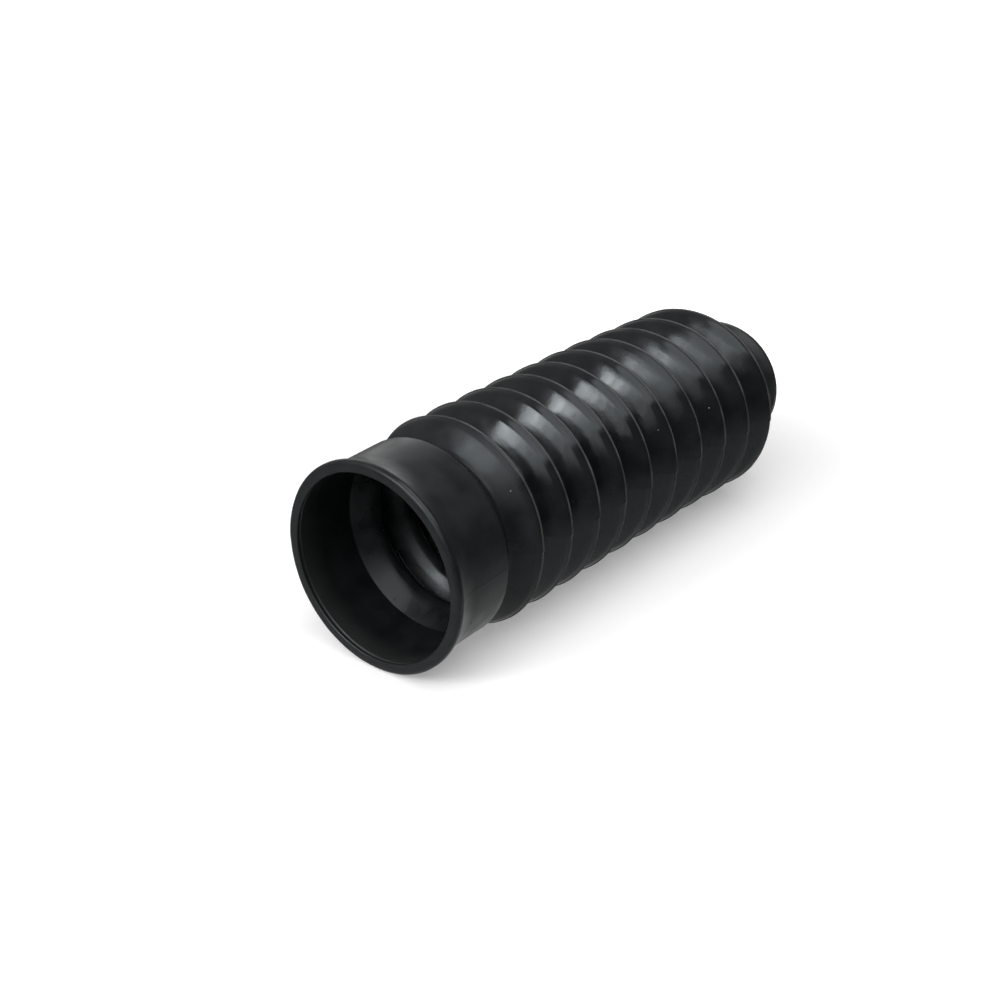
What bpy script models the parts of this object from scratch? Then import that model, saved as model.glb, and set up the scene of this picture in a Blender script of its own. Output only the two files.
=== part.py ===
"""Rubber fork gaiter: one moulded bellows tube that covers a motorcycle fork leg.

The axis of the tube is Z. It stands on the rim of its wide mouth, at Z = 0, and its
narrow neck is at the top. The whole section is one closed outline, turned round Z.
"""

import math

import bmesh
import bpy

MM = 0.001

# Mouth and collar: the wide end, clamped round the fork slider
COLLAR_BORE = 69.8 * MM
COLLAR_WALL = 1.6 * MM
COLLAR_LENGTH = 27.9 * MM
SHOULDER_RISE = 0.4 * MM
SHOULDER_RADIUS = 1.3 * MM
LIP_DIAMETER = 77.0 * MM
LIP_BAND = 1.6 * MM
LIP_FLARE = 8.5 * MM
LIP_BEVEL_WIDTH = 1.6 * MM
LIP_BEVEL_HEIGHT = 1.4 * MM
RIM_GRIP = 0.6 * MM
RIM_GRIP_HEIGHT = 1.5 * MM

# Bellows: equal folds between the collar and the neck
FOLD_COUNT = 10
FOLD_PITCH = 16.4 * MM
CREST_DIAMETER = 78.0 * MM
ROOT_DIAMETER = 60.6 * MM
WALL = 1.8 * MM
CREST_INNER_RADIUS = 1.4 * MM
ROOT_OUTER_RADIUS = 1.8 * MM
BEAD_HEIGHT = 0.45 * MM
BEAD_WIDTH = 0.9 * MM

# Neck: the narrow end, clamped round the fork tube
NECK_BORE = 45.0 * MM
NECK_WALL = 1.8 * MM
NECK_RUN = 9.0 * MM
NECK_LENGTH = 19.0 * MM
NECK_LIP_DIAMETER = 53.0 * MM
NECK_LIP_BAND = 2.4 * MM
NECK_LIP_FLARE = 4.5 * MM
NECK_LIP_BEVEL = 0.7 * MM
NECK_RELIEF = 0.6 * MM

# Facets of the turned shape
TURN_STEPS = 36
ROOT_STEPS = 1
INNER_CREST_STEPS = 1
INNER_ROOT_STEPS = 2
FLARE_STEPS = 4
BEVEL_STEPS = 2

RUBBER_COLOUR = (0.021, 0.022, 0.024, 1.0)
RUBBER_ROUGHNESS = 0.42


class Bend:
    """A rounded turn of the wall: a crest bulges away from the axis, a root towards it."""

    def __init__(self, radius, height, outer_radius, inner_radius, is_crest):
        self.radius = radius
        self.height = height
        self.outer_radius = outer_radius
        self.inner_radius = inner_radius
        self.side = 1.0 if is_crest else -1.0
        self.start = 0.0
        self.end = 0.0

    def point(self, angle, arc_radius):
        """The point where the wall's outward normal leans up by angle."""
        return (self.radius + self.side * arc_radius * math.cos(angle),
                self.height + self.side * arc_radius * math.sin(angle))

    def arc(self, arc_radius, steps):
        """The turn from its first flank to its second, as a list of points."""
        span = self.end - self.start
        return [self.point(self.start + span * i / steps, arc_radius) for i in range(steps + 1)]


def crest(outer_diameter, height):
    """A crest that reaches outer_diameter, without its bead."""
    outer_radius = CREST_INNER_RADIUS + WALL
    return Bend(outer_diameter / 2 - outer_radius, height, outer_radius, CREST_INNER_RADIUS, True)


def root(outer_diameter, height):
    """A root that the outside of the wall follows down to outer_diameter."""
    return Bend(outer_diameter / 2 + ROOT_OUTER_RADIUS, height,
                ROOT_OUTER_RADIUS, ROOT_OUTER_RADIUS + WALL, False)


def join_flanks(bends):
    """Lay a straight flank on each pair of neighbours, tangent to both of their arcs."""
    for lower, upper in zip(bends, bends[1:]):
        across = (upper.radius - lower.radius) * lower.side
        along = (upper.height - lower.height) * lower.side
        reach = lower.outer_radius + upper.outer_radius
        lean = math.acos(reach / math.hypot(across, along))
        angle = math.atan2(along, across) - lower.side * lean
        lower.end = angle
        upper.start = angle


def make_bends():
    """The turns of the wall from the collar's shoulder up to the neck."""
    shoulder = COLLAR_BORE / 2 + COLLAR_WALL + SHOULDER_RISE
    crest_diameter = CREST_DIAMETER - 2 * BEAD_HEIGHT
    bends = [Bend(shoulder - SHOULDER_RADIUS, COLLAR_LENGTH,
                  SHOULDER_RADIUS, SHOULDER_RADIUS - WALL, True)]
    for fold in range(1, FOLD_COUNT + 1):
        height = COLLAR_LENGTH + fold * FOLD_PITCH
        bends.append(root(ROOT_DIAMETER, height - FOLD_PITCH / 2))
        bends.append(crest(crest_diameter, height))
    bends.append(root(NECK_BORE + 2 * NECK_WALL, height + NECK_RUN))
    join_flanks(bends)
    return bends


def beaded_crest(bend):
    """The outside of a crest, with the thin ridge that the mould leaves along its top."""
    half_width = math.asin(BEAD_WIDTH / 2 / bend.outer_radius)
    top = bend.radius + bend.outer_radius + BEAD_HEIGHT
    return [bend.point(bend.start, bend.outer_radius),
            bend.point(-half_width, bend.outer_radius),
            (top, bend.height),
            bend.point(half_width, bend.outer_radius),
            bend.point(bend.end, bend.outer_radius)]


def lip_outside():
    """Outside of the mouth, from the rim's flat face up the flare to the collar's waist."""
    lip = LIP_DIAMETER / 2
    waist = COLLAR_BORE / 2 + COLLAR_WALL
    points = []
    for i in range(BEVEL_STEPS + 1):
        turn = math.pi / 2 * i / BEVEL_STEPS
        points.append((lip - LIP_BEVEL_WIDTH * (1 - math.sin(turn)),
                       LIP_BEVEL_HEIGHT * (1 - math.cos(turn))))
    flare_start = LIP_BEVEL_HEIGHT + LIP_BAND
    for i in range(FLARE_STEPS + 1):
        share = i / FLARE_STEPS
        radius = waist + (lip - waist) * (1 - share) ** 2
        points.append((radius, flare_start + LIP_FLARE * share))
    return points


def shoulder_outside(bend):
    """The collar's wall swells a little before it turns down into the first root."""
    swell = math.acos(1 - SHOULDER_RISE / bend.outer_radius)
    return [bend.point(-swell, bend.outer_radius),
            bend.point(0, bend.outer_radius),
            bend.point(bend.end / 2, bend.outer_radius),
            bend.point(bend.end, bend.outer_radius)]


def neck(bend):
    """The narrow end, up the outside to the lip that holds its clamp, then down its bore."""
    outside = NECK_BORE / 2 + NECK_WALL
    lip = NECK_LIP_DIAMETER / 2
    bore = NECK_BORE / 2
    end = bend.height + NECK_LENGTH
    flare_start = end - NECK_LIP_BAND - NECK_LIP_FLARE
    bend.end = 0.0
    points = bend.arc(bend.outer_radius, ROOT_STEPS + 1)
    for i in range(FLARE_STEPS + 1):
        share = i / FLARE_STEPS
        points.append((outside + (lip - outside) * share ** 2,
                       flare_start + NECK_LIP_FLARE * share))
    points += [(lip, end - NECK_LIP_BEVEL),
               (lip - NECK_LIP_BEVEL, end),
               (bore + NECK_RELIEF, end),
               (bore, end - NECK_RELIEF),
               (bore, bend.height + NECK_RELIEF)]
    points += reversed(bend.arc(bend.inner_radius, INNER_ROOT_STEPS))
    return points


def mouth_inside(bend):
    """The inside of the shoulder and the collar, down to the rim's gripping edge."""
    bore = COLLAR_BORE / 2
    grip = bore - RIM_GRIP
    inset = (bore - bend.radius) * math.cos(bend.end)
    corner = bend.height + (bend.inner_radius - inset) / math.sin(bend.end)
    return [(bore, corner),
            (bore, RIM_GRIP_HEIGHT + RIM_GRIP),
            (grip, RIM_GRIP_HEIGHT),
            (grip, 0.0)]


def section():
    """The closed outline of the wall, as radius and height, up the outside and back inside."""
    bends = make_bends()
    points = lip_outside() + shoulder_outside(bends[0])
    for bend in bends[1:-1]:
        points += beaded_crest(bend) if bend.side > 0 else bend.arc(bend.outer_radius, ROOT_STEPS)
    points += neck(bends[-1])
    for bend in reversed(bends[1:-1]):
        steps = INNER_CREST_STEPS if bend.side > 0 else INNER_ROOT_STEPS
        points += reversed(bend.arc(bend.inner_radius, steps))
    points += mouth_inside(bends[0])
    return points


def turn(name, outline):
    """Turn a closed outline once round Z into one solid with a bore."""
    bm = bmesh.new()
    verts = [bm.verts.new((radius, 0.0, height)) for radius, height in outline]
    edges = [bm.edges.new((verts[i - 1], verts[i])) for i in range(len(verts))]
    bmesh.ops.spin(bm, geom=verts + edges, cent=(0, 0, 0), axis=(0, 0, 1),
                   angle=2 * math.pi, steps=TURN_STEPS, use_merge=True)
    bmesh.ops.recalc_face_normals(bm, faces=bm.faces)
    mesh = bpy.data.meshes.new(name)
    bm.to_mesh(mesh)
    bm.free()
    mesh.shade_smooth()
    mesh.set_sharp_from_angle(angle=math.radians(40))
    solid = bpy.data.objects.new(name, mesh)
    bpy.context.collection.objects.link(solid)
    return solid


def rubber():
    """Black moulded rubber with a soft gloss."""
    material = bpy.data.materials.new("black_rubber")
    material.use_nodes = True
    shader = material.node_tree.nodes["Principled BSDF"]
    shader.inputs["Base Color"].default_value = RUBBER_COLOUR
    shader.inputs["Roughness"].default_value = RUBBER_ROUGHNESS
    shader.inputs["Metallic"].default_value = 0.0
    return material


def main():
    for old in list(bpy.data.objects):
        bpy.data.objects.remove(old)
    gaiter = turn("fork_gaiter", section())
    gaiter.data.materials.append(rubber())


main()
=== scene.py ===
# %% [markdown]
# # A rubber fork gaiter
#
# A fork gaiter is a bellows of black rubber. It hangs round a motorcycle's fork leg and
# keeps grit off the sliding tube. The wide collar is clamped to the slider, the narrow
# neck to the tube above it, and the folds between them close up as the fork dives.
#
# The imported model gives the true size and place. This lesson makes the fine rubber skin
# that stands for it, with its seams, its creases and its worn finish, and then lights it.

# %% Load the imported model
import math

import bpy
from mathutils import Matrix, Vector


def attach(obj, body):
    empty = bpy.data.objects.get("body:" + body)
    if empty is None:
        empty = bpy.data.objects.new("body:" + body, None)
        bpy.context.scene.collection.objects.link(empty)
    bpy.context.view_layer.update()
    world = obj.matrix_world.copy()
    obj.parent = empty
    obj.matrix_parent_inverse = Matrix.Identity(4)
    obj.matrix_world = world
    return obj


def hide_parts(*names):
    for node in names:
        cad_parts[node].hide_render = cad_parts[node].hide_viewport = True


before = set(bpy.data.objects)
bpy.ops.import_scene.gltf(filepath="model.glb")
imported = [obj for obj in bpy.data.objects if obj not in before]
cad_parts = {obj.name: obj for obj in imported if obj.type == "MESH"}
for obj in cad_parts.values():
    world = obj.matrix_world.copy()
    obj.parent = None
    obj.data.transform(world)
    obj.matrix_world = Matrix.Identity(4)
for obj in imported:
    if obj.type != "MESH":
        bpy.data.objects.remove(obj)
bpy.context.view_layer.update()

# %% [markdown]
# ## The driving sizes
#
# The gaiter is turned round Z, with the rim of its mouth at Z = 0. A maker would draw
# only half of its section, so these are the sizes on that drawing. They could be read off
# the imported solid, but that solid is made of flat facets, and a drawing's own numbers keep
# the fine skin round.

# %% Sizes of the section, in metres
MM = 0.001

# The collar, from the rim of the mouth to its shoulder
COLLAR_BORE = 69.8 * MM
COLLAR_WALL = 1.6 * MM
COLLAR_LENGTH = 27.9 * MM
SHOULDER_RADIUS = 0.8 * MM
LIP_DIAMETER = 77.0 * MM
LIP_BAND = 0.6 * MM
LIP_FLARE = 9.0 * MM
LIP_BEVEL = 1.5 * MM
RIM_GRIP = 0.5 * MM
RIM_GRIP_HEIGHT = 0.9 * MM
GROOVE_DEPTH = 0.5 * MM
GROOVE_WIDTH = 1.1 * MM

# The bellows
FOLD_COUNT = 10
FOLD_PITCH = 16.4 * MM
CREST_DIAMETER = 78.0 * MM
ROOT_DIAMETER = 60.6 * MM
WALL = 1.8 * MM
CREST_INNER_RADIUS = 1.4 * MM
ROOT_OUTER_RADIUS = 1.8 * MM

# The thin ridge along each crest, and the crease beside it
BEAD_HEIGHT = 0.45 * MM
BEAD_WIDTH = 0.56 * MM
CREASE_DEPTH = 0.16 * MM
CREASE_WIDTH = 0.5 * MM

# The neck
NECK_BORE = 45.0 * MM
NECK_WALL = 1.8 * MM
NECK_RUN = 9.0 * MM
NECK_LENGTH = 19.0 * MM
NECK_LIP_DIAMETER = 53.0 * MM
NECK_LIP_BAND = 2.4 * MM
NECK_LIP_FLARE = 4.5 * MM
NECK_LIP_BEVEL = 0.7 * MM
NECK_RELIEF = 0.6 * MM

print(FOLD_COUNT, "folds,", round(CREST_DIAMETER / MM, 1), "mm across their crests")

# %% [markdown]
# ## The turns of the wall
#
# A bellows wall is a chain of round turns, crests outside and roots inside, with a straight
# flank between each pair. A flank only looks moulded if it leaves both turns without a
# kink, so its angle is worked out as the line that is tangent to two circles. Each turn
# is kept as its centre, its two radii and the angles at which its flanks leave it.

# %% A turn of the wall
class Turn:
    """One round turn: side is 1 at a crest and -1 at a root."""

    def __init__(self, radius, height, outer, inner, side):
        self.radius = radius
        self.height = height
        self.outer = outer
        self.inner = inner
        self.side = side
        self.start = 0.0
        self.end = 0.0

    def point(self, angle, reach):
        """A point of the turn, where the wall's outward normal leans up by angle."""
        return (self.radius + self.side * reach * math.cos(angle),
                self.height + self.side * reach * math.sin(angle))


def crest(diameter, height):
    """A crest whose outside reaches this diameter, without its ridge."""
    outer = CREST_INNER_RADIUS + WALL
    return Turn(diameter / 2 - outer, height, outer, CREST_INNER_RADIUS, 1)


def root(diameter, height):
    """A root whose outside goes down to this diameter."""
    return Turn(diameter / 2 + ROOT_OUTER_RADIUS, height,
                ROOT_OUTER_RADIUS, ROOT_OUTER_RADIUS + WALL, -1)


def lay_flanks(turns):
    """Set the angle of each flank, tangent to the two turns that it joins."""
    for lower, upper in zip(turns, turns[1:]):
        across = (upper.radius - lower.radius) * lower.side
        along = (upper.height - lower.height) * lower.side
        lean = math.acos((lower.outer + upper.outer) / math.hypot(across, along))
        angle = math.atan2(along, across) - lower.side * lean
        lower.end = angle
        upper.start = angle


def make_turns():
    """All turns from the collar's shoulder to the foot of the neck."""
    shoulder = COLLAR_BORE / 2 + COLLAR_WALL
    turns = [Turn(shoulder - SHOULDER_RADIUS, COLLAR_LENGTH,
                  SHOULDER_RADIUS, SHOULDER_RADIUS - WALL, 1)]
    for fold in range(1, FOLD_COUNT + 1):
        height = COLLAR_LENGTH + fold * FOLD_PITCH
        turns.append(root(ROOT_DIAMETER, height - FOLD_PITCH / 2))
        turns.append(crest(CREST_DIAMETER - 2 * BEAD_HEIGHT, height))
    turns.append(root(NECK_BORE + 2 * NECK_WALL, height + NECK_RUN))
    lay_flanks(turns)
    return turns


turns = make_turns()
neck_end = turns[-1].height + NECK_LENGTH
print(len(turns), "turns, neck ends at", round(neck_end / MM, 1), "mm")

# %% [markdown]
# ## Drawing the section
#
# The section is drawn in edit mode as a pen would draw it: the last vertex is extruded for
# each straight run, and spun about the centre of each round turn. Typing a long list of
# points would give the same line, but nobody could change it. The pen also puts what it
# draws into a vertex group, so that the outside, the ridges and the bore can be found
# again after the section has been turned.

# %% A pen that draws with extrude and spin
GROUPS = ("outside", "ridge", "collar", "neck", "bore", "inside", "rim")


class Pen:
    """Draws in the XZ plane, with X as the radius and Z as the height."""

    def __init__(self, name, radius, height):
        bpy.ops.object.select_all(action="DESELECT")
        bpy.ops.mesh.primitive_plane_add(size=MM, location=(radius, 0, height))
        self.object = bpy.context.object
        self.object.name = name
        self.object.data.name = name
        bpy.ops.object.transform_apply(location=True)
        for group in GROUPS:
            self.object.vertex_groups.new(name=group)
        bpy.ops.object.mode_set(mode="EDIT")
        bpy.ops.mesh.select_mode(type="VERT")
        bpy.ops.mesh.select_all(action="SELECT")
        bpy.ops.mesh.merge(type="CENTER")
        self.at = (radius, height)
        self.points = 1

    def mark(self, *groups):
        """The point drawn last, and what is drawn from it, belongs to these groups."""
        for group in self.object.vertex_groups:
            self.object.vertex_groups.active_index = group.index
            if group.name in groups:
                bpy.ops.object.vertex_group_assign()
            else:
                bpy.ops.object.vertex_group_remove_from()

    def line(self, radius, height, cuts=1):
        """A straight run to a point, in one or more equal pieces."""
        step = ((radius - self.at[0]) / cuts, 0, (height - self.at[1]) / cuts)
        for _ in range(cuts):
            bpy.ops.mesh.extrude_region_move(TRANSFORM_OT_translate={"value": step})
        self.at = (radius, height)
        self.points += cuts

    def turn(self, bend, first, last, reach, steps):
        """Part of a round turn, from one normal angle to another."""
        bpy.ops.mesh.spin(steps=steps, angle=last - first, axis=(0, 1, 0),
                          center=(bend.radius, 0, bend.height))
        self.at = bend.point(last, reach)
        self.points += steps


# %% [markdown]
# ## The outside of the collar
#
# The collar is a plain band with a rolled lip. The mould has a generous radius there, so
# the lip flows into the band in one hollow sweep: a parabola gives it with one formula.
# Behind the band the wall turns in over a tight shoulder, which stops the clamp.

# %% Draw the rim, the lip and the collar
FLARE_STEPS = 12
BEVEL_STEPS = 4
ARC_STEPS = 6
COLLAR_CUTS = 8
LIP_CUTS = 2


def draw_collar(pen, shoulder):
    """The outside from the rim, round the lip, up the band and over the shoulder."""
    lip = LIP_DIAMETER / 2
    waist = COLLAR_BORE / 2 + COLLAR_WALL
    pen.mark("outside", "rim")
    for i in range(1, BEVEL_STEPS + 1):
        lean = math.pi / 2 * i / BEVEL_STEPS
        pen.line(lip - LIP_BEVEL * (1 - math.sin(lean)), LIP_BEVEL * (1 - math.cos(lean)))
    pen.mark("outside", "collar")
    foot = LIP_BEVEL + LIP_BAND
    pen.line(lip, foot, cuts=LIP_CUTS)
    for i in range(1, FLARE_STEPS + 1):
        share = i / FLARE_STEPS
        pen.line(waist + (lip - waist) * (1 - share) ** 2, foot + LIP_FLARE * share)
    pen.line(waist, shoulder.height, cuts=COLLAR_CUTS)
    pen.turn(shoulder, 0.0, shoulder.end, shoulder.outer, ARC_STEPS)


# %% [markdown]
# ## The folds
#
# Every fold is drawn by the same two strokes: round the root, then up the flank and over
# the crest. The two halves of the mould meet along each crest, which leaves a thin ridge
# of rubber, half an ellipse across, and a shallow crease on the mouth's side of it. They
# are under a millimetre wide, but they catch the light as a bright line round each fold,
# so they are drawn in the section and not left to a bump map.

# %% Draw one root and one crest
FLANK_CUTS = 3
CREASE_STEPS = 4
RIDGE_STEPS = 6


def draw_root(pen, bend):
    """Down the flank and round the root."""
    pen.line(*bend.point(bend.start, bend.outer), cuts=FLANK_CUTS)
    pen.turn(bend, bend.start, bend.end, bend.outer, ARC_STEPS)


def draw_crest(pen, bend):
    """Up the flank and over the crest, with the crease and the ridge on the way."""
    half_ridge = BEAD_WIDTH / 2 / bend.outer
    crease = CREASE_WIDTH / bend.outer
    pen.line(*bend.point(bend.start, bend.outer), cuts=FLANK_CUTS)
    pen.turn(bend, bend.start, -half_ridge - crease, bend.outer, ARC_STEPS // 2)
    for i in range(1, CREASE_STEPS + 1):
        share = i / CREASE_STEPS
        depth = CREASE_DEPTH * math.sin(math.pi * share)
        pen.line(*bend.point(-half_ridge - crease * (1 - share), bend.outer - depth))
    pen.mark("outside", "ridge")
    for i in range(1, RIDGE_STEPS + 1):
        across = 2 * i / RIDGE_STEPS - 1
        rise = BEAD_HEIGHT * math.sqrt(1 - across * across)
        pen.line(*bend.point(half_ridge * across, bend.outer + rise))
    pen.mark("outside")
    pen.turn(bend, half_ridge, bend.end, bend.outer, ARC_STEPS // 2)


# %% [markdown]
# ## The neck and the inside
#
# The neck ends in a lip that keeps its clamp from sliding off. From there the pen goes
# back down the inside: a moulded bellows has one wall all the way, so each turn is drawn
# again about the same centre, at its inner radius. The mouth's bore has a narrow gripping
# edge at the rim and a groove behind it, which shows as a dark line in the open mouth.

# %% Draw the neck, the inside and the mouth's bore
INNER_STEPS = 4
INNER_CUTS = 2
NECK_CUTS = 6
SHOULDER_CUTS = 4
BORE_CUTS = 12
RIM_CUTS = 3
SHOULDER_EDGE = 1.0 * MM


def draw_neck(pen, foot):
    """The narrow end, up its outside, over its lip and down its bore."""
    outside = NECK_BORE / 2 + NECK_WALL
    lip = NECK_LIP_DIAMETER / 2
    bore = NECK_BORE / 2
    flare_foot = neck_end - NECK_LIP_BAND - NECK_LIP_FLARE
    pen.line(*foot.point(foot.start, foot.outer), cuts=FLANK_CUTS)
    pen.turn(foot, foot.start, 0.0, foot.outer, ARC_STEPS)
    pen.mark("outside", "neck")
    pen.line(outside, flare_foot, cuts=NECK_CUTS)
    for i in range(1, FLARE_STEPS // 2 + 1):
        share = 2 * i / FLARE_STEPS
        pen.line(outside + (lip - outside) * share ** 2, flare_foot + NECK_LIP_FLARE * share)
    pen.line(lip, neck_end - NECK_LIP_BEVEL, cuts=LIP_CUTS)
    pen.line(lip - NECK_LIP_BEVEL, neck_end)
    pen.line(bore + NECK_RELIEF, neck_end)
    pen.mark("inside")
    pen.line(bore, neck_end - NECK_RELIEF)
    pen.line(*foot.point(0.0, foot.inner), cuts=NECK_CUTS)
    pen.turn(foot, 0.0, foot.start, foot.inner, INNER_STEPS)


def draw_inside(pen, bends):
    """The inside of the folds, back down from the neck."""
    for bend in bends:
        pen.line(*bend.point(bend.end, bend.inner), cuts=INNER_CUTS)
        pen.turn(bend, bend.end, bend.start, bend.inner, INNER_STEPS)


def draw_bore(pen, shoulder):
    """The collar's bore, down to its groove, the gripping edge and the flat rim."""
    bore = COLLAR_BORE / 2
    grip = bore - RIM_GRIP
    inset = (bore - shoulder.radius) * math.cos(shoulder.end)
    corner = shoulder.height + (shoulder.inner - inset) / math.sin(shoulder.end)
    groove_top = RIM_GRIP_HEIGHT + GROOVE_WIDTH
    pen.line(bore, corner, cuts=SHOULDER_CUTS)
    pen.mark("inside", "bore")
    pen.line(bore, corner - SHOULDER_EDGE)
    pen.mark("bore")
    pen.line(bore, groove_top + GROOVE_DEPTH, cuts=BORE_CUTS)
    pen.line(bore + GROOVE_DEPTH, groove_top)
    pen.line(bore + GROOVE_DEPTH, RIM_GRIP_HEIGHT)
    pen.line(grip, RIM_GRIP_HEIGHT)
    pen.mark("bore", "rim")
    pen.line(grip, RIM_GRIP / 2)
    pen.mark("rim")
    pen.line(grip + RIM_GRIP / 2, 0.0)
    pen.line(LIP_DIAMETER / 2 - LIP_BEVEL, 0.0, cuts=RIM_CUTS)


pen = Pen("gaiter_skin", LIP_DIAMETER / 2 - LIP_BEVEL, 0.0)
draw_collar(pen, turns[0])
for bend in turns[1:-1]:
    if bend.side > 0:
        draw_crest(pen, bend)
    else:
        draw_root(pen, bend)
draw_neck(pen, turns[-1])
draw_inside(pen, turns[-2:0:-1])
draw_bore(pen, turns[0])
skin = pen.object
print("section drawn with", pen.points, "points")

# %% [markdown]
# ## Turning the section
#
# The outside of the real mould is two halves, and the rubber shows where they met as two
# seams, one on each side. So the section isn't turned in one sweep. It is spun through a
# narrow strip at each seam and in wide even steps between them, which leaves a column of
# points exactly on the seam to work on. One sweep and a boolean cut would need far more
# faces for the same thin line.

# %% Spin two halves with narrow strips at the seams
HALF_STEPS = 90
SEAM_STRIP = math.radians(0.4)
SEAM_ANGLE = math.radians(45.0)
MERGE_DISTANCE = 0.01 * MM


def spin(angle, steps):
    """Turn what is selected about Z, and leave the last column of points selected."""
    bpy.ops.mesh.spin(steps=steps, angle=angle, center=(0, 0, 0), axis=(0, 0, 1))


bpy.ops.mesh.select_all(action="SELECT")
for _ in range(2):
    spin(SEAM_STRIP, 1)
    spin(math.pi - 2 * SEAM_STRIP, HALF_STEPS)
    spin(SEAM_STRIP, 1)
bpy.ops.mesh.select_all(action="SELECT")
bpy.ops.mesh.remove_doubles(threshold=MERGE_DISTANCE)
bpy.ops.mesh.normals_make_consistent(inside=False)
bpy.ops.object.mode_set(mode="OBJECT")
print("skin has", len(skin.data.polygons), "faces")

# %% [markdown]
# ## The seams
#
# Where the mould halves met, a hair of rubber was squeezed out and trimmed, and the halves
# were not quite level, so the ridge on each crest steps a little as it crosses the seam.
# The column of points on the seam is pushed out along its normals for the trimmed edge,
# and the ridges of one half are moved up for the step. The inside was shaped by one core
# and has no seam, so the vertex groups leave it out.

# %% Raise the trimmed edge and step the ridges of one half
FLASH_HEIGHT = 0.02 * MM
HALF_STEP = 0.45 * MM
ON_SEAM = 0.01 * MM
PAST_SEAM = 0.02 * MM
ABOVE_RIM = 0.1 * MM
SMOOTH_ANGLE = math.radians(38.0)


def select_group(name, test):
    """Select the points of a vertex group whose place passes the test."""
    index = skin.vertex_groups[name].index
    bpy.ops.object.mode_set(mode="EDIT")
    bpy.ops.mesh.select_all(action="DESELECT")
    bpy.ops.object.mode_set(mode="OBJECT")
    for vertex in skin.data.vertices:
        in_group = any(g.group == index for g in vertex.groups)
        vertex.select = in_group and test(vertex.co)
    bpy.ops.object.mode_set(mode="EDIT")
    return sum(vertex.select for vertex in skin.data.vertices)


on_seam = select_group("outside", lambda p: abs(p.y) < ON_SEAM and p.z > ABOVE_RIM)
bpy.ops.transform.shrink_fatten(value=FLASH_HEIGHT)
on_half = select_group("ridge", lambda p: p.y < -PAST_SEAM)
bpy.ops.transform.translate(value=(0, 0, HALF_STEP))
bpy.ops.object.mode_set(mode="OBJECT")
print(on_seam, "points on the seams,", on_half, "on the raised ridges")

skin.rotation_euler.z = SEAM_ANGLE
bpy.ops.object.transform_apply(rotation=True)
bpy.ops.object.shade_smooth_by_angle(angle=SMOOTH_ANGLE)

# %% [markdown]
# ## Sagging where it lies
#
# A soft bellows never stays straight. This one lies on its side, so its mouth sags a little
# towards the table, and its last folds lean over to one side. A lattice does it without
# bending a single fold by hand: each of its layers is a square frame round the tube, which
# is moved and tipped, and the rubber between two layers follows.

# %% Bend the tube by a lattice
TABLE_UP = Vector((math.sqrt(0.5), -math.sqrt(0.5), 0.0))
ALONG = Vector((0.0, 0.0, 1.0))
ACROSS = ALONG.cross(TABLE_UP)

LATTICE_LAYERS = 12
LATTICE_WIDTH = CREST_DIAMETER * 1.1
LATTICE_HEIGHT = neck_end * 1.02
BEND_START = 110.0 * MM
BEND_END = 192.0 * MM
BEND_SHIFT = ACROSS * (1.1 * MM) - TABLE_UP * (1.3 * MM)
BEND_TIP = math.radians(3.6)
MOUTH_SHIFT = ACROSS * (0.6 * MM) - TABLE_UP * (0.6 * MM)


def sag(point):
    """Where a point of the straight tube goes."""
    reach = min(1.0, max(0.0, (point.z - BEND_START) / (BEND_END - BEND_START)))
    at_mouth = max(0.0, 1.0 - point.z / COLLAR_LENGTH)
    lean = BEND_TIP * reach * point.dot(ACROSS)
    return point + BEND_SHIFT * reach ** 2 + MOUTH_SHIFT * at_mouth + ALONG * lean


bpy.ops.object.select_all(action="DESELECT")
bpy.ops.object.add(type="LATTICE", location=(0, 0, neck_end / 2))
lattice = bpy.context.object
lattice.scale = (LATTICE_WIDTH, LATTICE_WIDTH, LATTICE_HEIGHT)
lattice.data.points_w = LATTICE_LAYERS
lattice.data.interpolation_type_u = "KEY_LINEAR"
lattice.data.interpolation_type_v = "KEY_LINEAR"
lattice.data.interpolation_type_w = "KEY_CARDINAL"
bpy.context.view_layer.update()
to_world = lattice.matrix_world.copy()
for point in lattice.data.points:
    point.co_deform = to_world.inverted() @ sag(to_world @ point.co)

bpy.context.view_layer.objects.active = skin
soft = skin.modifiers.new("sag", "LATTICE")
soft.object = lattice
bpy.ops.object.modifier_apply(modifier="sag")
bpy.ops.object.select_all(action="DESELECT")
lattice.select_set(True)
bpy.ops.object.delete()
print("tube bent in", LATTICE_LAYERS, "layers")

# %% [markdown]
# ## Uneven rubber
#
# Rubber comes out of a hot mould a little wavy, and a smooth turned shape gives it away at
# once: its highlights have ruler edges. Two displace modifiers with a cloud texture give a
# long swell and a short ripple, both far thinner than the wall. They work on the vertex
# group of the outside only, and they are applied, so the waviness is in the mesh.

# %% Displace the outside by a long swell and a short ripple
SWELL_SIZE = 30.0 * MM
SWELL_DEPTH = 0.30 * MM
RIPPLE_SIZE = 6.0 * MM
RIPPLE_DEPTH = 0.14 * MM


def displace(name, size, depth):
    """Move the outside in and out by clouds of one size, by depth from end to end."""
    clouds = bpy.data.textures.new(name, type="CLOUDS")
    clouds.noise_scale = size
    modifier = skin.modifiers.new(name, "DISPLACE")
    modifier.texture = clouds
    modifier.texture_coords = "LOCAL"
    modifier.vertex_group = "outside"
    modifier.strength = depth
    modifier.mid_level = 0.5
    bpy.ops.object.modifier_apply(modifier=name)


bpy.context.view_layer.objects.active = skin
displace("swell", SWELL_SIZE, SWELL_DEPTH)
displace("ripple", RIPPLE_SIZE, RIPPLE_DEPTH)
print("swell", round(SWELL_DEPTH / MM, 2), "mm and ripple", round(RIPPLE_DEPTH / MM, 2), "mm deep")

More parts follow.
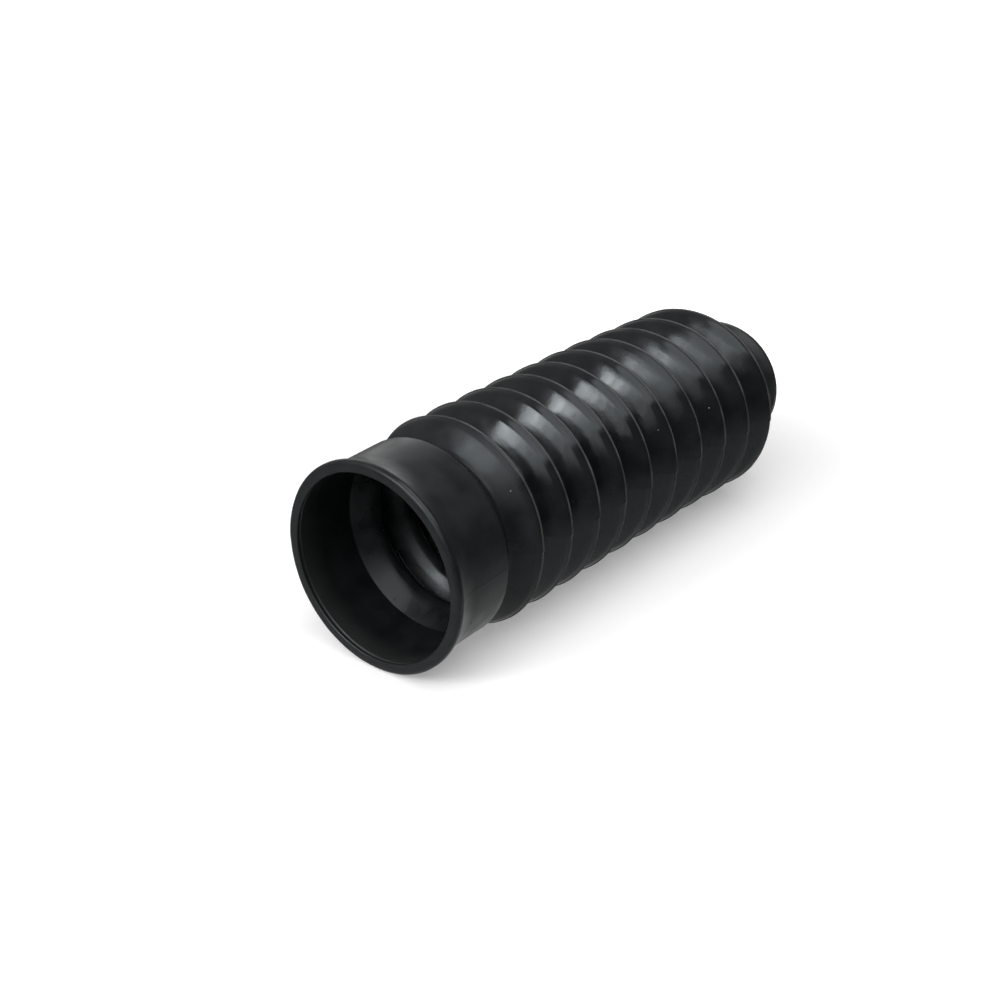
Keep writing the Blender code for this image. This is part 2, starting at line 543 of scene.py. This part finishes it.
# %% [markdown]
# ## Effects that the rubbers share
#
# The collar, the folds and the worn ridges are the same rubber with different polish, so
# they share effects: a cloudy bloom, small pits left by air in the mould, and specks of
# dust. Each is a node group with named inputs, built once, and placed with its own values.
# Groups give out only masks, and each rubber keeps its own shader.

# %% Node groups for bloom, pits and dust
BLOOM_DETAIL = 1.5
BLOOM_ROUGHNESS = 0.4
NOISE_MIDDLE = 0.5


def new_group(name, inputs, output):
    """A shader node group with number inputs, a Vector input and one number output."""
    tree = bpy.data.node_groups.new(name, "ShaderNodeTree")
    tree.interface.new_socket("Vector", in_out="INPUT", socket_type="NodeSocketVector")
    for label, value in inputs.items():
        socket = tree.interface.new_socket(label, in_out="INPUT", socket_type="NodeSocketFloat")
        socket.default_value = value
    tree.interface.new_socket(output, in_out="OUTPUT", socket_type="NodeSocketFloat")
    start = tree.nodes.new("NodeGroupInput")
    end = tree.nodes.new("NodeGroupOutput")
    return tree, start, end


def bloom_group():
    """Soft cloudy patches, 0 to 1, where the surface has bloomed or been handled."""
    tree, start, end = new_group("bloom", {"Scale": 60.0, "Contrast": 0.2}, "Bloom")
    noise = tree.nodes.new("ShaderNodeTexNoise")
    noise.inputs["Detail"].default_value = BLOOM_DETAIL
    noise.inputs["Roughness"].default_value = BLOOM_ROUGHNESS
    low = tree.nodes.new("ShaderNodeMath")
    low.operation = "SUBTRACT"
    low.inputs[0].default_value = NOISE_MIDDLE
    high = tree.nodes.new("ShaderNodeMath")
    high.operation = "ADD"
    high.inputs[0].default_value = NOISE_MIDDLE
    spread = tree.nodes.new("ShaderNodeMapRange")
    spread.interpolation_type = "SMOOTHERSTEP"
    tree.links.new(start.outputs["Vector"], noise.inputs["Vector"])
    tree.links.new(start.outputs["Scale"], noise.inputs["Scale"])
    tree.links.new(start.outputs["Contrast"], low.inputs[1])
    tree.links.new(start.outputs["Contrast"], high.inputs[1])
    tree.links.new(noise.outputs["Fac"], spread.inputs["Value"])
    tree.links.new(low.outputs["Value"], spread.inputs["From Min"])
    tree.links.new(high.outputs["Value"], spread.inputs["From Max"])
    tree.links.new(spread.outputs["Result"], end.inputs["Bloom"])
    return tree


def speck_group():
    """Sparse round specks, 1 at their middle: pits or dust, by how they are used."""
    tree, start, end = new_group("specks", {"Scale": 300.0, "Size": 0.3, "Amount": 0.05}, "Speck")
    cells = tree.nodes.new("ShaderNodeTexVoronoi")
    cells.feature = "F1"
    dot = tree.nodes.new("ShaderNodeMapRange")
    dot.inputs["From Min"].default_value = 0.0
    dot.inputs["To Min"].default_value = 1.0
    dot.inputs["To Max"].default_value = 0.0
    chance = tree.nodes.new("ShaderNodeSeparateColor")
    chosen = tree.nodes.new("ShaderNodeMath")
    chosen.operation = "LESS_THAN"
    both = tree.nodes.new("ShaderNodeMath")
    both.operation = "MULTIPLY"
    tree.links.new(start.outputs["Vector"], cells.inputs["Vector"])
    tree.links.new(start.outputs["Scale"], cells.inputs["Scale"])
    tree.links.new(start.outputs["Size"], dot.inputs["From Max"])
    tree.links.new(cells.outputs["Distance"], dot.inputs["Value"])
    tree.links.new(cells.outputs["Color"], chance.inputs["Color"])
    tree.links.new(chance.outputs["Red"], chosen.inputs[0])
    tree.links.new(start.outputs["Amount"], chosen.inputs[1])
    tree.links.new(dot.outputs["Result"], both.inputs[0])
    tree.links.new(chosen.outputs["Value"], both.inputs[1])
    tree.links.new(both.outputs["Value"], end.inputs["Speck"])
    return tree


BLOOM = bloom_group()
SPECKS = speck_group()
print("groups:", [group.name for group in bpy.data.node_groups])

# %% [markdown]
# ## The rubbers
#
# The collar has a satin finish, while the folds kept more of the mould's polish. Black
# rubber is not black paint: its colour is a very dark, slightly cold grey, and almost all
# that is seen on it is reflection. So the work is in the roughness, which the bloom breaks
# up, and the colour changes only a little.

# %% Make one rubber from the shared groups
RUBBER = (0.0055, 0.0064, 0.0070, 1.0)
BLOOMED = (0.0095, 0.0105, 0.0110, 1.0)
SATIN = (0.0145, 0.0155, 0.0165, 1.0)
WORN = (0.014, 0.014, 0.014, 1.0)
CHALKY = (0.054, 0.050, 0.048, 1.0)
# Pale bloom on the neck, and the painted light on the bore close to the rim
PALE_BLOOM_AND_BORE_LIGHT = (0.022, 0.022, 0.022, 1.0)
DUST = (0.45, 0.44, 0.42, 1.0)
COLD_SHEEN = (0.90, 0.97, 1.0, 1.0)

PATCHES = {"Scale": 130.0, "Contrast": 0.34}
PITS = {"Scale": 150.0, "Size": 0.10, "Amount": 0.30}
DUST_SPECKS = {"Scale": 120.0, "Size": 0.045, "Amount": 0.35}
PIT_ROUGHNESS = 0.5
PIT_DEPTH = -4.0
GRAIN_SCALE = 900.0
GRAIN_DETAIL = 3.0
BUMP_STRENGTH = 0.5

# A Mix node lists its sockets for numbers and vectors before those for colours
MIX_FACTOR = 0
MIX_FIRST = 6
MIX_SECOND = 7
MIX_RESULT = 2


def place_group(tree, group, vector, values):
    """Put a shared group into a material, with values of its own."""
    node = tree.nodes.new("ShaderNodeGroup")
    node.node_tree = group
    tree.links.new(vector, node.inputs["Vector"])
    for label, value in values.items():
        node.inputs[label].default_value = value
    return node


def mix_colour(tree, mask, first, second):
    """Go from the first colour to the second by a mask. Each is a colour or a socket."""
    node = tree.nodes.new("ShaderNodeMix")
    node.data_type = "RGBA"
    for index, colour in ((MIX_FIRST, first), (MIX_SECOND, second)):
        if isinstance(colour, tuple):
            node.inputs[index].default_value = colour
        else:
            tree.links.new(colour, node.inputs[index])
    tree.links.new(mask, node.inputs[MIX_FACTOR])
    return node.outputs[MIX_RESULT]


def rubber(name, colours, roughness, grain, specular):
    """A rubber whose colour and roughness go from polished to bloomed, with a fine grain."""
    material = bpy.data.materials.new(name)
    material.use_nodes = True
    tree = material.node_tree
    shader = tree.nodes["Principled BSDF"]
    shader.inputs["Specular IOR Level"].default_value = specular
    shader.inputs["Specular Tint"].default_value = COLD_SHEEN
    where = tree.nodes.new("ShaderNodeTexCoord").outputs["Object"]
    patches = place_group(tree, BLOOM, where, PATCHES)
    pits = place_group(tree, SPECKS, where, PITS)
    dust = place_group(tree, SPECKS, where, DUST_SPECKS)

    colour = mix_colour(tree, patches.outputs["Bloom"], *colours)
    colour = mix_colour(tree, dust.outputs["Speck"], colour, DUST)
    tree.links.new(colour, shader.inputs["Base Color"])

    polish = tree.nodes.new("ShaderNodeMapRange")
    polish.inputs["To Min"].default_value = roughness[0]
    polish.inputs["To Max"].default_value = roughness[1]
    tree.links.new(patches.outputs["Bloom"], polish.inputs["Value"])
    rough_pits = tree.nodes.new("ShaderNodeMath")
    rough_pits.operation = "MULTIPLY_ADD"
    rough_pits.inputs[1].default_value = PIT_ROUGHNESS
    tree.links.new(pits.outputs["Speck"], rough_pits.inputs[0])
    tree.links.new(polish.outputs["Result"], rough_pits.inputs[2])
    tree.links.new(rough_pits.outputs["Value"], shader.inputs["Roughness"])

    fine = tree.nodes.new("ShaderNodeTexNoise")
    fine.inputs["Scale"].default_value = GRAIN_SCALE
    fine.inputs["Detail"].default_value = GRAIN_DETAIL
    tree.links.new(where, fine.inputs["Vector"])
    sunk = tree.nodes.new("ShaderNodeMath")
    sunk.operation = "MULTIPLY_ADD"
    sunk.inputs[1].default_value = PIT_DEPTH
    tree.links.new(pits.outputs["Speck"], sunk.inputs[0])
    tree.links.new(fine.outputs["Fac"], sunk.inputs[2])
    bump = tree.nodes.new("ShaderNodeBump")
    bump.inputs["Strength"].default_value = BUMP_STRENGTH
    bump.inputs["Distance"].default_value = grain
    tree.links.new(sunk.outputs["Value"], bump.inputs["Height"])
    tree.links.new(bump.outputs["Normal"], shader.inputs["Normal"])
    return material


# %% [markdown]
# ## Wear and painted light along the tube
#
# Handling leaves some folds duller than others, and the bore is painted lighter close to the
# rim, as painted light that comes in at the open mouth and fades into the bore. Both change
# only along the tube, so each is a ramp on the height of the piece, added to the rubber after
# it is made. Painting a mask by hand would need a picture file, and a noise would not let a
# chosen fold be dull.

# %% Wear and painted light that change along the tube
FOLD_DULLNESS = (0.35, 0.1, 0.15, 0.1, 0.0, 0.0, 0.5, 0.1, 0.3, 0.0)
DULL_ROUGHNESS = 0.22
# How far into the bore the painted light reaches from the rim
BORE_LIGHT_DEPTH = 14.0 * MM


def height_on(tree):
    """The height of a place on the piece, from the coordinates that its rubber reads."""
    apart = tree.nodes.new("ShaderNodeSeparateXYZ")
    tree.links.new(tree.nodes["Texture Coordinate"].outputs["Object"], apart.inputs["Vector"])
    return apart.outputs["Z"]


def dull_folds(material):
    """Add roughness fold by fold, evenly from one to the next, and most past the last."""
    tree = material.node_tree
    along = tree.nodes.new("ShaderNodeMapRange")
    along.inputs["From Min"].default_value = COLLAR_LENGTH
    along.inputs["From Max"].default_value = COLLAR_LENGTH + (FOLD_COUNT + 1) * FOLD_PITCH
    tree.links.new(height_on(tree), along.inputs["Value"])
    folds = tree.nodes.new("ShaderNodeValToRGB")
    stops = folds.color_ramp.elements
    stops[0].position = 1 / (FOLD_COUNT + 1)
    stops[1].position = 1.0
    for fold, dullness in enumerate(FOLD_DULLNESS, start=1):
        stop = stops[0] if fold == 1 else stops.new(fold / (FOLD_COUNT + 1))
        stop.color = (dullness, dullness, dullness, 1.0)
    tree.links.new(along.outputs["Result"], folds.inputs["Fac"])
    added = tree.nodes.new("ShaderNodeMath")
    added.operation = "MULTIPLY_ADD"
    added.inputs[1].default_value = DULL_ROUGHNESS
    tree.links.new(folds.outputs["Color"], added.inputs[0])
    shader = tree.nodes["Principled BSDF"]
    tree.links.new(shader.inputs["Roughness"].links[0].from_socket, added.inputs[2])
    tree.links.new(added.outputs["Value"], shader.inputs["Roughness"])
    return material


def paint_bore_light(material):
    """Paint the bore lighter close to the rim: painted light from the open mouth, fading deeper
    in.
    """
    tree = material.node_tree
    fade = tree.nodes.new("ShaderNodeMapRange")
    fade.interpolation_type = "SMOOTHSTEP"
    fade.inputs["From Max"].default_value = BORE_LIGHT_DEPTH
    fade.inputs["To Min"].default_value = 1.0
    fade.inputs["To Max"].default_value = 0.0
    tree.links.new(height_on(tree), fade.inputs["Value"])
    shader = tree.nodes["Principled BSDF"]
    plain = shader.inputs["Base Color"].links[0].from_socket
    # Painted light: the bore's colour goes paler towards the rim
    lit_near_rim = mix_colour(tree, fade.outputs["Result"], plain, PALE_BLOOM_AND_BORE_LIGHT)
    tree.links.new(lit_near_rim, shader.inputs["Base Color"])
    return material


# %% Put the rubbers on their parts of the skin
# Each has two colours and two roughnesses, for polished and for bloomed places, then the
# height of its grain and its specular level. The first covers all that no group claims.
RUBBERS = (
    dull_folds(rubber("fold_rubber", (RUBBER, BLOOMED), (0.10, 0.21), 0.030 * MM, 0.37)),
    rubber("collar_rubber", (BLOOMED, SATIN), (0.26, 0.40), 0.040 * MM, 0.24),
    rubber("ridge_rubber", (WORN, CHALKY), (0.40, 0.60), 0.050 * MM, 0.50),
    # The bore is painted lighter near the rim, as painted light from the open mouth
    paint_bore_light(rubber("bore_rubber", (RUBBER, BLOOMED), (0.35, 0.50), 0.040 * MM, 0.30)),
    rubber("inside_rubber", (RUBBER, SATIN), (0.24, 0.38), 0.040 * MM, 0.24),
    rubber("rim_rubber", (RUBBER, BLOOMED), (0.36, 0.50), 0.040 * MM, 0.36),
    rubber("neck_rubber", (BLOOMED, PALE_BLOOM_AND_BORE_LIGHT), (0.35, 0.50), 0.040 * MM, 0.40),
)
for material in RUBBERS:
    skin.data.materials.append(material)


def cover(group, material):
    """Give the faces whose points are all in a vertex group one of the skin's materials."""
    slot = skin.data.materials.find(material)
    index = skin.vertex_groups[group].index
    members = {v.index for v in skin.data.vertices if any(g.group == index for g in v.groups)}
    count = 0
    for face in skin.data.polygons:
        if members.issuperset(face.vertices):
            face.material_index = slot
            count += 1
    print(group, "covers", count, "faces")


cover("collar", "collar_rubber")
cover("rim", "rim_rubber")
cover("ridge", "ridge_rubber")
cover("neck", "neck_rubber")
cover("bore", "bore_rubber")
cover("inside", "inside_rubber")

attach(skin, "root")
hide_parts("fork_gaiter")

# %% [markdown]
# ## The camera
#
# The photograph was taken with the gaiter lying on a table, with its mouth towards the
# camera. The model keeps its own frame, upright on its mouth, so the camera goes where it
# was in relation to the gaiter: below the mouth, looking up into it. The table's upward
# direction is one level direction of this frame, and the camera's top points that way.

# %% Camera, placed from the table, the axis and the direction across them
def place(up, across, along):
    """A point given by its distances up from the table, across it and along the gaiter."""
    return TABLE_UP * up + ACROSS * across + ALONG * along


CAMERA_PLACE = place(253.15 * MM, 325.75 * MM, -338.3 * MM)
CAMERA_AIM = place(0.0, 1.68 * MM, 67.4 * MM)
LENS_MM = 57.6
SENSOR_MM = 36.0
CLIP_START = 10.0 * MM

camera = bpy.data.objects.new("camera", bpy.data.cameras.new("camera"))
bpy.context.collection.objects.link(camera)
bpy.context.scene.camera = camera
camera.data.lens = LENS_MM
camera.data.sensor_width = SENSOR_MM
camera.data.clip_start = CLIP_START
forward = (CAMERA_AIM - CAMERA_PLACE).normalized()
right = forward.cross(TABLE_UP).normalized()
top = right.cross(forward)
turned = Matrix((right, top, -forward)).transposed().to_4x4()
camera.matrix_world = Matrix.Translation(CAMERA_PLACE) @ turned
print("camera", round((CAMERA_AIM - CAMERA_PLACE).length / MM), "mm from the axis")

# %% [markdown]
# ## The table and the floor
#
# The gaiter stands upright in its own frame, so the table that it lies on stands on edge and
# touches its side. A second plane, under the mouth, is the floor for looks from the side and
# from above. Both are cards that only the camera sees, and only from their front, so that a
# look from behind isn't blocked and light still reaches the back. They take the gaiter's
# shadow, which a weak painted glow lightens close to the gaiter, and further out they glow
# more, so that they run into the white background.

# %% Planes for the table and the floor
STAGE_REACH = 6.0
STAGE_GAP = 0.2 * MM
TABLE_DEPTH = CREST_DIAMETER / 2 + STAGE_GAP
FOLDS_HEIGHT = 110.0 * MM
CARD_WHITE = (0.8, 0.8, 0.8, 1.0)
# A weak painted glow close to the gaiter, which lightens its shadow on the cards
NEAR_GLOW = 0.28


def plane(name, x_axis, y_axis, distance):
    """A stage plane across two directions, moved back along the third."""
    bpy.ops.object.select_all(action="DESELECT")
    bpy.ops.mesh.primitive_plane_add(size=STAGE_REACH)
    flat = bpy.context.object
    flat.name = name
    normal = x_axis.cross(y_axis)
    turned = Matrix((x_axis, y_axis, normal)).transposed().to_4x4()
    flat.matrix_world = Matrix.Translation(normal * distance) @ turned
    return flat


table = plane("table", ACROSS, ALONG, -TABLE_DEPTH)
floor = plane("floor", ACROSS, -TABLE_UP, -STAGE_GAP)
print("table", round(TABLE_DEPTH / MM, 1), "mm from the axis, floor under the mouth")


def stage_material(name, centre, near, far):
    """White card, seen only from its front and by the camera, which glows more further out."""
    material = bpy.data.materials.new(name)
    material.use_nodes = True
    nodes = material.node_tree.nodes
    links = material.node_tree.links
    nodes.remove(nodes["Principled BSDF"])
    out = nodes["Material Output"]
    where = nodes.new("ShaderNodeTexCoord").outputs["Object"]
    away = nodes.new("ShaderNodeVectorMath")
    away.operation = "DISTANCE"
    away.inputs[1].default_value = centre
    links.new(where, away.inputs[0])
    reach = nodes.new("ShaderNodeMapRange")
    reach.interpolation_type = "SMOOTHSTEP"
    reach.inputs["From Min"].default_value = near
    reach.inputs["From Max"].default_value = far
    reach.inputs["To Min"].default_value = NEAR_GLOW
    links.new(away.outputs["Value"], reach.inputs["Value"])

    path = nodes.new("ShaderNodeLightPath")
    glow = nodes.new("ShaderNodeMath")
    glow.operation = "MULTIPLY"
    links.new(reach.outputs["Result"], glow.inputs[0])
    links.new(path.outputs["Is Camera Ray"], glow.inputs[1])
    diffuse = nodes.new("ShaderNodeBsdfDiffuse")
    diffuse.inputs["Color"].default_value = CARD_WHITE
    emission = nodes.new("ShaderNodeEmission")
    links.new(glow.outputs["Value"], emission.inputs["Strength"])
    both = nodes.new("ShaderNodeAddShader")
    links.new(diffuse.outputs["BSDF"], both.inputs[0])
    links.new(emission.outputs["Emission"], both.inputs[1])

    front = nodes.new("ShaderNodeMath")
    front.operation = "SUBTRACT"
    front.use_clamp = True
    links.new(nodes.new("ShaderNodeNewGeometry").outputs["Backfacing"], front.inputs[1])
    links.new(path.outputs["Is Camera Ray"], front.inputs[0])
    clear = nodes.new("ShaderNodeBsdfTransparent")
    pick = nodes.new("ShaderNodeMixShader")
    links.new(front.outputs["Value"], pick.inputs["Fac"])
    links.new(clear.outputs["BSDF"], pick.inputs[1])
    links.new(both.outputs["Shader"], pick.inputs[2])
    links.new(pick.outputs["Shader"], out.inputs["Surface"])
    return material


UNDER_FOLDS = (0.0, FOLDS_HEIGHT, 0.0)
UNDER_MOUTH = (0.0, 0.0, 0.0)
table.data.materials.append(stage_material("table_card", UNDER_FOLDS, near=0.12, far=0.33))
floor.data.materials.append(stage_material("floor_card", UNDER_MOUTH, near=0.05, far=0.25))

# %% [markdown]
# ## Light
#
# A row of narrow soft boxes stands in front of the mouth, bright on the left and dim on the
# right. Their reflection is the pale patch on each fold, with a clear edge on the left and a
# soft fade to the right. One large lamp with a gradient would give the same, but separate
# boxes are moved and dimmed one by one, as in a studio. A wide box overhead lights the collar.
# The world gives the white background, the grey of the room that the rubber reflects
# elsewhere, and the light that a white table throws up from below.

# %% Lamps and world
FOLDS_MIDDLE = ALONG * FOLDS_HEIGHT

# A beam whose cosine to the upward direction is past this is levelled by the gaiter's axis
UPRIGHT = 0.9


def soft_box(name, centre, target, wide, high, radiance):
    """A level rectangle of light at one place that faces another."""
    lamp = bpy.data.lights.new(name, "AREA")
    lamp.shape = "RECTANGLE"
    lamp.size = wide
    lamp.size_y = high
    lamp.energy = radiance * math.pi * wide * high
    box = bpy.data.objects.new(name, lamp)
    bpy.context.collection.objects.link(box)
    beam = (target - centre).normalized()
    level = ALONG if abs(beam.dot(TABLE_UP)) > UPRIGHT else TABLE_UP
    side = beam.cross(level).normalized()
    turned = Matrix((side, side.cross(beam), -beam)).transposed().to_4x4()
    box.matrix_world = Matrix.Translation(centre) @ turned
    box.visible_camera = False
    print(name, "at", [round(v, 2) for v in centre])


def seen_at(azimuth, height, distance):
    """A place seen from the folds: azimuth from the mouth's side to the right, and height."""
    azimuth = math.radians(azimuth)
    height = math.radians(height)
    level = math.cos(height) * distance
    return FOLDS_MIDDLE + place(math.sin(height) * distance, math.sin(azimuth) * level,
                                -math.cos(azimuth) * level)


# Azimuth and height in degrees, and radiance, from left to right
FRONT_ROW = ((-16.5, 33.0, 11.0), (-7.5, 31.5, 8.5), (1.5, 30.0, 4.0),
             (10.5, 28.0, 2.2), (19.5, 26.0, 1.6), (28.5, 23.0, 1.0))
ROW_DISTANCE = 1.4
for azimuth, height, radiance in FRONT_ROW:
    centre = seen_at(azimuth, height, ROW_DISTANCE)
    soft_box("front_box", centre, FOLDS_MIDDLE, wide=0.24, high=0.52, radiance=radiance)

TOP_PLACE = place(0.80, 0.35, -0.30)
TOP_AIM = place(0.0, 0.35, -0.30)
soft_box("top_box", TOP_PLACE, TOP_AIM, wide=0.80, high=1.5, radiance=2.3)


def towards(nodes, links, ray, direction, cosines, strengths):
    """A strength that goes from the first to the second as a ray turns to a direction."""
    along = nodes.new("ShaderNodeVectorMath")
    along.operation = "DOT_PRODUCT"
    along.inputs[1].default_value = direction
    links.new(ray, along.inputs[0])
    ramp = nodes.new("ShaderNodeMapRange")
    ramp.interpolation_type = "SMOOTHSTEP"
    for label, value in zip(("From Min", "From Max", "To Min", "To Max"), cosines + strengths):
        ramp.inputs[label].default_value = value
    links.new(along.outputs["Value"], ramp.inputs["Value"])
    return ramp.outputs["Result"]


# Each part of the room: the cosines between which it changes, and its strengths there
FAR_WALL = place(0.2, -0.6, 0.77).normalized()
LEFT_TO_RIGHT = ((-0.35, 0.25), (0.34, 0.06))
AT_FAR_WALL = ((0.86, 0.98), (0.0, 0.7))
ABOVE_TABLE = ((-0.08, 0.02), (0.0, 1.0))
FROM_BELOW = ((0.06, 0.60), (0.08, 0.58))


def studio_world():
    """White for the camera; for other rays a dim room, lighter on the left, behind and below."""
    world = bpy.data.worlds.new("studio")
    world.use_nodes = True
    nodes = world.node_tree.nodes
    links = world.node_tree.links
    ray = nodes.new("ShaderNodeTexCoord").outputs["Generated"]
    sides = towards(nodes, links, ray, ACROSS, *LEFT_TO_RIGHT)
    behind = towards(nodes, links, ray, FAR_WALL, *AT_FAR_WALL)
    above = towards(nodes, links, ray, TABLE_UP, *ABOVE_TABLE)
    below = towards(nodes, links, ray, -TABLE_UP, *FROM_BELOW)

    walls = nodes.new("ShaderNodeMath")
    walls.operation = "ADD"
    links.new(sides, walls.inputs[0])
    links.new(behind, walls.inputs[1])
    room = nodes.new("ShaderNodeMath")
    room.operation = "MULTIPLY_ADD"
    links.new(walls.outputs["Value"], room.inputs[0])
    links.new(above, room.inputs[1])
    links.new(below, room.inputs[2])

    path = nodes.new("ShaderNodeLightPath")
    seen = nodes.new("ShaderNodeMath")
    seen.operation = "MAXIMUM"
    links.new(path.outputs["Is Camera Ray"], seen.inputs[0])
    links.new(path.outputs["Is Transmission Ray"], seen.inputs[1])
    strength = nodes.new("ShaderNodeMapRange")
    strength.inputs["To Max"].default_value = 1.0
    links.new(seen.outputs["Value"], strength.inputs["Value"])
    links.new(room.outputs["Value"], strength.inputs["To Min"])
    links.new(strength.outputs["Result"], nodes["Background"].inputs["Strength"])
    nodes["Background"].inputs["Color"].default_value = (1.0, 1.0, 1.0, 1.0)
    return world


bpy.context.scene.world = studio_world()

# %% [markdown]
# ## Finish
#
# The last cell sets a plain view of the colours.

# %% Finish
bpy.context.scene.view_settings.view_transform = "Standard"
bpy.context.view_layer.update()
